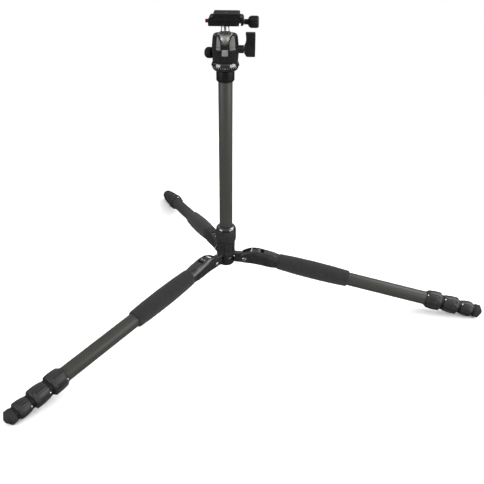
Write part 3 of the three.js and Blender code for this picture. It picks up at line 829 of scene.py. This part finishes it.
def make_housing():
    low, high = span("head_housing")
    z, top, r = low.z, high.z, high.y
    ball = measure("ball")
    centre = ball.low + ball.radius
    main = JOINTS["main_knob_turn"]["pos_m"][2] / MM
    pan = JOINTS["pan_knob_turn"]
    pan_spin = Matrix.Rotation(math.atan2(pan["axis"][1], pan["axis"][0]), 4, "Z")
    cup = measure("ball_cup")
    shell = turned("head_shell", softened([
        (z, 8.8), (z, 18.6, 0.6), (z + 18.6, r - 0.02, 0.3),
        (z + 21.8, r - 0.9, 0.2), (z + 21.9, r - 0.5, 0.1), (top - 4.6, 18.2, 3), (top - 1.6, 17.4, 1.4),
        (top - 0.2, 16, 0.9), (top, 15), (top, 0), (z + 3.3, 0), (z + 3.3, 8.8),
    ], closed=False), sides=128)
    boss = lying(turned("boss", softened([(14, 0), (14, 5.7), (27, 5.7, 0.6), (27, 0)], closed=False)), main)
    cavity = turned("cavity", [(centre - 15.6 * math.cos(math.pi * k / 32), 15.6 * math.sin(math.pi * k / 32))
                               for k in range(33)], sides=96)
    flare = [(10.6, top + 1), (9.9, top - 2), (8.4, centre + 4.6), (6.6, centre + 0.8)]
    notch = [(-x, h) for x, h in flare]
    notch += [(6.4 * math.cos(a), centre + 6.4 * math.sin(a))
              for a in (math.radians(180 + 9 * k) for k in range(21))]
    notch += reversed(flare)
    badge_low, badge_high = span("badge")
    shell = cut(
        fused(shell, boss), cavity,
        rod("cup_room", cup.low - CLEAR, centre - 6, cup.radius + CLEAR, 64),
        rod("mouth", centre + 8.8, top + 1, 12.6, 96),
        slab("notch", softened([(x, h, 1.5) for x, h in notch]), -25, -1),
        block("badge_seat", (badge_low.x - CLEAR, -25, badge_low.z - CLEAR),
              (badge_high.x + CLEAR, badge_high.y + CLEAR, badge_high.z + CLEAR)),
        lying(rod("main_room", 5, 28, MAIN_ROOM), main),
        moved(rod("pan_room", 10, 24, 2.5),
              pan_spin @ Matrix.Translation((0, 0, pan["pos_m"][2] / MM)) @ turn_to("Y")),
    )
    shell = rounded(shell, 0.35, 2, 40)
    finished(shell, ROW, "head", [GLOSS], ["head_housing"], crease=30)

    rim_plate = block("name_plate", badge_low, badge_high, 0.15)
    face = block("face", (badge_low.x + 0.9, badge_low.y - 0.12, badge_low.z + 0.9),
                 (badge_high.x - 0.9, badge_low.y + 0.1, badge_high.z - 0.9), 0.1)
    finished(rim_plate, ROW, "head", [GLOSS, (face, BADGE_METAL)], ["badge"])


def make_ball():
    low, high, _, radius = measure("ball")
    centre = low + radius
    start = math.asin(10.7 / radius)
    arc = [(centre + radius * math.sin(a), radius * math.cos(a))
           for a in (-TAU / 4 + (start + TAU / 4) * k / 30 for k in range(31))]
    top = JOINTS["ball_spin"]["pos_m"][2] / MM - 0.1
    stem = softened([
        arc[-1], (centre + 13.9, 5.85, 1.4), (top, 5.85, 0.4), (top, 3), (high, 3, 0.3), (high, 0),
    ], closed=False)
    body = turned("ball_and_stem", arc[:-1] + stem, sides=96)
    finished(body, ROW, "ball", [BALL_METAL], ["ball"])


def make_main_knob():
    low, high = span("main_knob")
    z = JOINTS["main_knob_turn"]["pos_m"][2] / MM
    x = low.x
    outline = softened([
        (x, z - 5.2), (x + 1.1, z - 6.2, 1), (x + 3.1, low.z, 2), (high.x - 0.2, low.z, 1.2),
        (high.x, z + 6, 30), (high.x, high.z, 1.2), (x + 1.8, high.z, 1), (x + 2.6, z + 17, 4),
        (x + 2.7, z + 12.4, 4), (x + 2.1, z + 8.6, 2), (x + 1, z + 6, 1), (x, z + 5.2),
    ])
    wing = slab("wing", outline, -6.5, 6.5, 1.5, 4)
    hub = lying(turned("wing_hub", softened([(x, 0), (x, 5.7, 0.5), (40, 5.7), (40, 0)], closed=False)), z)
    bore = lying(rod("bore", x - 1, 38, MAIN_ROOM), z)
    inner = slab("inner", softened([
        (high.x - 0.5, z + 2, 1), (high.x + 1, z + 2, 1), (high.x + 1, high.z - 3, 1),
        (high.x - 0.5, high.z - 3, 1),
    ]), -4, 4, 0.3)
    body = cut(fused(wing, hub), bore, inner)
    finished(body, ROW, "main_knob", [KNOB], ["main_knob"])


def make_pan_knob():
    joint = JOINTS["pan_knob_turn"]
    axis = Vector(joint["axis"])
    place = axes_at(Vector((0, 0, joint["pos_m"][2])), (0, 0, 1), axis)
    low, high, _, radius = measure("pan_knob", place)
    face = low + 6

    def knurled(height, out, angle):
        window = smooth(height, face + 0.4, face + 1.4) * (1 - smooth(height, high - 3.6, high - 1.6))
        return out - (0.35 * window * (0.5 + 0.5 * math.cos(24 * angle)) if out > radius - 3 else 0)
    body = turned("pan_lock", dense(softened([
        (low, 0), (low, 2.2, 0.3), (face, 2.2), (face, radius - 0.8, 0.6), (face + 1, radius, 0.4),
        (high - 3.4, radius, 2), (high - 0.6, radius - 2.8, 1.6), (high, radius - 4.4, 0.6),
        (high - 0.5, radius - 5, 0.2), (high - 0.5, 0),
    ], closed=False), 1.0), sides=144, radius_at=knurled)
    finished(body, place, "pan_knob", [ANODISED], ["pan_knob"])


def make_clamp():
    low, high = span("clamp_body")
    jaw_low, jaw_high = span("clamp_jaw")
    plate_low, plate_high = span("quick_release_plate")
    screw_z = JOINTS["clamp_knob_turn"]["pos_m"][2] / MM
    edge = plate_low.x - CLEAR
    floor = plate_low.z - CLEAR
    wall_top = floor + 1.9  # where the dovetail's wall starts to lean in
    lip = floor + 4.2
    lean = 2.3
    jaw_inside = 22.4  # the jaw's inner face, under the plate
    body = slab("clamp", softened([
        (low.x, low.z, 1.6), (high.x, low.z, 0.5), (high.x, floor, 0.3), (edge, floor, 0.2),
        (edge, wall_top, 0.2), (edge + lean, lip, 0.3), (edge + lean, high.z, 0.3),
        (low.x + 2.4, high.z, 1.4), (low.x, high.z - 2.4, 1.4),
    ]), low.y, high.y, 0.8, 3)
    pin_low, pin_high = span("safety_pin")
    pin_z = (pin_low.z + pin_high.z) / 2
    relief = [block("relief", (edge + 6, y - 0.4, low.z - 1), (high.x + 1, y + 0.4, low.z + 0.5))
              for y in (-13, 13)]
    body = cut(
        body,
        rod("spigot_room", low.z - 1, measure("ball").high + CLEAR, 3.3),
        lying(rod("screw_room", 5, high.x + 1, SCREW_ROOM), screw_z),
        lying(rod("pin_room", low.x - 1, -19.2, 3), pin_z),
        lying(rod("shaft_room", -20, -10, 1.7), pin_z),
        *relief,
    )
    finished(body, ROW, "clamp", [ANODISED], ["clamp_body"])

    grip = plate_high.x + CLEAR
    jaw = slab("sliding_jaw", softened([
        (jaw_inside, jaw_low.z, 0.3), (25, jaw_low.z, 0.8), (jaw_high.x, jaw_low.z + 2.2, 1),
        (jaw_high.x, jaw_high.z - 2.4, 1.2), (jaw_high.x - 2.2, jaw_high.z, 1.2),
        (grip - lean, jaw_high.z, 0.3), (grip - lean, lip, 0.3), (grip, wall_top, 0.2),
        (grip, floor + 0.4, 0.2), (jaw_inside, floor, 0.2),
    ]), jaw_low.y, jaw_high.y, 0.8, 3)
    jaw = cut(jaw, lying(rod("screw_room", 18, 28, SCREW_ROOM), screw_z))
    finished(jaw, ROW, "jaw", [ANODISED], ["clamp_jaw"])

    place = axes_at(Vector((0, 0, screw_z * MM)), (0, 0, 1), (1, 0, 0))
    near, far, _, radius = measure("clamp_knob", place)

    def lobed(height, out, angle):
        if out < radius - 2.6 or height < 33:
            return out
        return out - 0.02 - 0.9 * max(0.0, math.cos(9 * angle)) ** 2.5
    knob = turned("clamp_grip", dense(softened([
        (near, SCREW_ROOM), (near, 3.75, 0.3), (32.4, 3.75, 0.3), (33.4, 6.4, 0.8), (36.2, radius, 1.4),
        (far - 2, radius, 1), (far, radius - 1.6, 0.8), (far, 4.6, 0.3), (far - 0.6, 4, 0.2), (far - 0.6, 0),
        (40, 0), (40, SCREW_ROOM),
    ], closed=False), 0.9), sides=144, radius_at=lobed)
    finished(knob, place, "clamp_knob", [KNOB], ["clamp_knob"])

    place = axes_at(Vector((0, 0, pin_z * MM)), (0, 0, 1), (1, 0, 0))
    near, far, _, radius = measure("safety_pin", place)
    button = turned("release_pin", softened([
        (near, 0), (near, radius - 0.7, 0.4), (near + 0.7, radius, 0.3), (near + 2, radius, 0.1),
        (near + 2.3, radius - 0.3, 0.1), (near + 2.7, radius - 0.3, 0.1), (near + 3, radius, 0.1),
        (near + 5.7, radius, 0.2), (near + 5.7, 1.4), (far, 1.4, 0.3), (far, 0),
    ], closed=False, steps=2), sides=64)
    finished(button, place, "pin", [RED], ["safety_pin"])


def make_plate():
    low, high = span("quick_release_plate")
    middle = (low.x + high.x) / 2
    half = high.x - middle
    z = low.z
    side = [(half, z, 0.3), (half, z + 1.5, 0.3), (half - 2.8, z + 4.3, 0.2), (half - 2.8, z + 4.8),
            (half - 0.1, z + 4.8, 0.3), (half - 0.1, high.z - 1.2, 0.8), (half - 1.2, high.z, 0.6)]
    mirrored = [(-point[0], *point[1:]) for point in reversed(side)]
    blank = slab("plate", softened(side + mirrored), low.y, high.y, 0.7, 3)
    pad_low, pad_high = span("plate_pad")
    seat = block("seat", (pad_low.x - middle - CLEAR, pad_low.y - CLEAR, pad_low.z - CLEAR),
                 (pad_high.x - middle + CLEAR, pad_high.y + CLEAR, high.z + 1))
    to_middle = Matrix.Translation((middle, 0, 0))
    screw = measure("camera_screw", ROW @ to_middle)
    room = turned("screw_room", [(z - 1, 0), (z - 1, 7.5), (z + 3.3, 7.5), (z + 3.3, 3.5), (high.z + 1, 3.5),
                                 (high.z + 1, 0)], sides=64)
    blank = moved(cut(blank, seat, room), to_middle)
    finished(blank, ROW, "plate", [ANODISED], ["quick_release_plate"])

    top = pad_high.z
    pad = block("pad", pad_low, (pad_high.x, pad_high.y, top - 0.35), 0.1)
    strips = []
    for k in range(15):
        y = pad_low.y + 1.4 + k * (pad_high.y - pad_low.y - 2.8) / 14
        strip = block("strip", (pad_low.x + 0.8, y - 0.7, top - 0.5), (pad_high.x - 0.8, y + 0.7, top), 0.25)
        strips.append(strip)
    pad = cut(fused(pad, *strips), moved(rod("hole", z, top + 1, 3.7), to_middle))
    finished(pad, ROW, "plate", [KNOB], ["plate_pad"])

    thread = 3.1
    pitch = 1.27
    head = 7.2
    head_top = screw.low + 2.5

    def threaded(height, out, angle):
        if abs(out - thread) > 0.05 or height < screw.low + 3.2:
            return out
        return out - 0.22 * (0.5 + 0.5 * math.cos(TAU * height / pitch - angle))
    body = turned("tripod_screw", dense(softened([
        (screw.low, 0), (screw.low, head, 0.4), (head_top, head, 0.4), (head_top, thread),
        (screw.high, thread, 0.5), (screw.high, 0),
    ], closed=False), 0.2), sides=64, radius_at=threaded)
    driver = block("driver", (-5, -0.7, screw.low - 1), (5, 0.7, screw.low + 1.2))
    body = moved(cut(body, driver), to_middle)
    finished(body, ROW, "camera_screw", [STEEL_AND_GLINT], ["camera_screw"])


# ---- what stays as the frame made it ----

def dress_frame():
    """Inner pieces keep their CAD shape and take their material."""
    kept = {"column_collet": NYLON, "head_stud": STEEL_AND_GLINT, "ball_cup": NYLON, "main_knob_screw": STEEL_AND_GLINT,
            "clamp_screw": STEEL_AND_GLINT}
    for node, finish in kept.items():
        mesh = frame["nodes"][node].data
        mesh.materials.clear()
        mesh.materials.append(finish)


# ---- the studio ----

HUB_HEIGHT = leg_frame("leg_1").translation.z
ROOM = {"front": 0.5, "back": 0.8, "below": 0.1}  # how bright reflections find it
PANEL = {"away": 1.45, "middle": 0.63, "height": 0.94}  # metres
FLOOR = {"radius": 2.2, "fade_from": 0.9, "fade_to": 1.7}  # metres
CAMERA = {"out": -0.90802, "side": 0.03003, "above_hub": 0.49181, "lens": 45.312}
CAMERA_TURN = {"pitch": 27.831, "yaw": 0.2025, "roll": 0.5525}  # degrees


def add_camera():
    data = bpy.data.cameras.new("camera")
    data.lens = CAMERA["lens"]
    data.sensor_width = 36
    data.clip_end = 100
    camera = bpy.data.objects.new("camera", data)
    facing = turn_to("Z", CAMERA_TURN["yaw"]) @ turn_to("X", 90 - CAMERA_TURN["pitch"])
    at = Matrix.Translation((CAMERA["side"], CAMERA["out"], HUB_HEIGHT + CAMERA["above_hub"]))
    camera.matrix_world = at @ (facing @ turn_to("Z", CAMERA_TURN["roll"]))
    bpy.context.scene.collection.objects.link(camera)
    bpy.context.scene.camera = camera


def add_softbox(name, turn, lift, width, power):
    """A tall panel that stands round the column from the front, and is tilted down from a lift."""
    data = bpy.data.lights.new(name, "AREA")
    data.shape = "RECTANGLE"
    data.size = width
    data.size_y = PANEL["height"]
    data.energy = power
    light = bpy.data.objects.new(name, data)
    stand = Matrix.Translation((0, 0, PANEL["middle"])) @ turn_to("Z", turn) @ turn_to("X", -lift)
    light.matrix_world = stand @ Matrix.Translation((0, -PANEL["away"], 0)) @ turn_to("X")
    bpy.context.scene.collection.objects.link(light)


def add_world():
    """White to the camera and for soft light. Reflections see a pale backdrop and a dim room."""
    world = bpy.data.worlds.new("studio")
    world.use_nodes = True
    tree = world.node_tree
    room = tree.nodes.new("ShaderNodeBackground")
    tree.nodes["Background"].inputs["Color"].default_value = (1, 1, 1, 1)
    split = tree.nodes.new("ShaderNodeSeparateXYZ")
    tree.links.new(tree.nodes.new("ShaderNodeTexCoord").outputs["Generated"], split.inputs[0])
    shares = []
    for axis, values in (("Z", (0.1, 0.5, 0, 1)), ("Y", (0.1, 0.6, ROOM["front"], ROOM["back"]))):
        ramp = tree.nodes.new("ShaderNodeMapRange")
        ramp.interpolation_type = "SMOOTHSTEP"
        for key, value in zip(("From Min", "From Max", "To Min", "To Max"), values):
            ramp.inputs[key].default_value = value
        tree.links.new(split.outputs[axis], ramp.inputs["Value"])
        shares.append(ramp.outputs["Result"])
    total = tree.nodes.new("ShaderNodeMath")
    total.operation = "MULTIPLY_ADD"
    for socket, share in zip(total.inputs, shares):
        tree.links.new(share, socket)
    total.inputs[2].default_value = ROOM["below"]
    tree.links.new(total.outputs[0], room.inputs["Strength"])
    mix = tree.nodes.new("ShaderNodeMixShader")
    tree.links.new(tree.nodes.new("ShaderNodeLightPath").outputs["Is Glossy Ray"], mix.inputs["Fac"])
    tree.links.new(tree.nodes["Background"].outputs[0], mix.inputs[1])
    tree.links.new(room.outputs[0], mix.inputs[2])
    tree.links.new(mix.outputs[0], tree.nodes["World Output"].inputs["Surface"])
    bpy.context.scene.world = world


def add_studio():
    reach = FLOOR["radius"]
    corners = [(reach * math.cos(TAU * k / 96), reach * math.sin(TAU * k / 96), 0) for k in range(96)]
    floor = new_object("floor", corners, [list(range(96))])
    floor.location.z = CAD_BOUNDS[0][2]
    shader = Shader("pale_floor", (0.94, 0.94, 0.94), 0.95, Specular_IOR_Level=0.1)
    shader.tint(shader.noise(300), 0.99, 1.01)
    away = shader.node("ShaderNodeVectorMath", {0: shader.coordinates}, operation="LENGTH").outputs["Value"]
    solid = shader.ranged(away, 1.0, 0.0, FLOOR["fade_from"], FLOOR["fade_to"])
    shader.tree.links.new(solid, shader.principled.inputs["Alpha"])
    floor.data.materials.append(shader.material)
    floor.visible_glossy = False  # reflections see the dim room below instead
    add_world()
    add_softbox("key", -61, 0, 1.0, 16)
    add_softbox("fill", 68, 0, 1.5, 23)
    add_softbox("rim", 106, 30, 0.9, 22)
    bpy.context.scene.view_settings.view_transform = "Standard"


make_column()
make_hub()
for leg_name in LEGS:
    make_leg(leg_name)
make_pan_base()
make_housing()
make_ball()
make_main_knob()
make_pan_knob()
make_clamp()
make_plate()
dress_frame()
add_camera()
add_studio()
